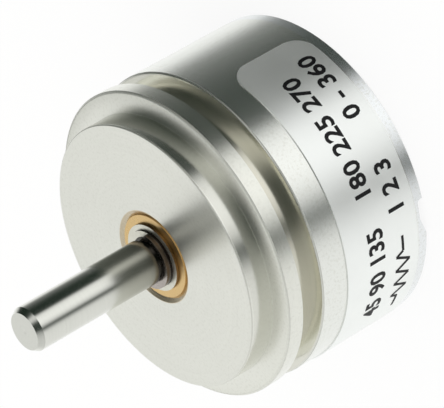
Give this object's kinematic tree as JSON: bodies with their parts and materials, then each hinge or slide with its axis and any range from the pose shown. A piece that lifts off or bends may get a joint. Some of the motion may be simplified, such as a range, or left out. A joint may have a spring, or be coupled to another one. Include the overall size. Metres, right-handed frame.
{
  "type": "servo-mount rotary potentiometer",
  "caption": "Cylindrical servo-mount rotary potentiometer: aluminium case with pilot, flange and clamping groove, wrapped label, steel shaft in a bronze bush, rear turret terminals.",
  "frame": {"origin": "on the shaft axis, in the plane of the mounting face at the foot of the pilot", "axes": "+Z along the shaft, out of the front; +Y towards the terminals; -Y is the side that the picture shows"},
  "size_m": [0.0223, 0.0262, 0.0252],
  "materials": {
    "housing_aluminium": "turned, clear anodised",
    "bush_bronze": "sintered bronze",
    "cover_plastic": "moulded",
    "board_plastic": "moulded, glass filled",
    "element_ceramic": "ground",
    "track_film": "screen-printed conductive plastic",
    "pad_silver": "silver film and silvered pin",
    "wiper_gold": "precious-metal alloy",
    "terminal_gold": "gold plated",
    "label_film": "printed polyester film",
    "shaft_steel": "ground stainless steel",
    "washer_steel": "stamped stainless steel",
    "ring_steel": "coiled flat spring steel",
    "carrier_plastic": "moulded",
    "collar_brass": "turned",
    "screw_steel": "alloy steel"
  },
  "bodies": {
    "case": {"housing": "housing_aluminium", "front_bush": "bush_bronze", "rear_bush": "bush_bronze", "rear_cover": "cover_plastic", "terminal_board": "board_plastic", "element_disc": "element_ceramic", "resistance_track": "track_film", "end_pads": "pad_silver", "collector_ring": "wiper_gold", "contact_pins": "pad_silver", "terminal_1": "terminal_gold", "terminal_2": "terminal_gold", "terminal_3": "terminal_gold", "label": "label_film"},
    "rotor": {"shaft": "shaft_steel", "front_washer": "washer_steel", "spacer_washer": "washer_steel", "retaining_ring": "ring_steel", "thrust_washer": "washer_steel", "wiper_carrier": "carrier_plastic", "clamp_collar": "collar_brass", "clamp_screw": "screw_steel", "track_wiper": "wiper_gold", "collector_wiper": "wiper_gold", "wiper_rivets": "collar_brass"}
  },
  "joints": [
    {"name": "shaft_rotation", "type": "hinge", "parent": "case", "child": "rotor", "pos_m": [0, 0, 0], "axis": [0, 0, 1], "continuous": true}
  ]
}
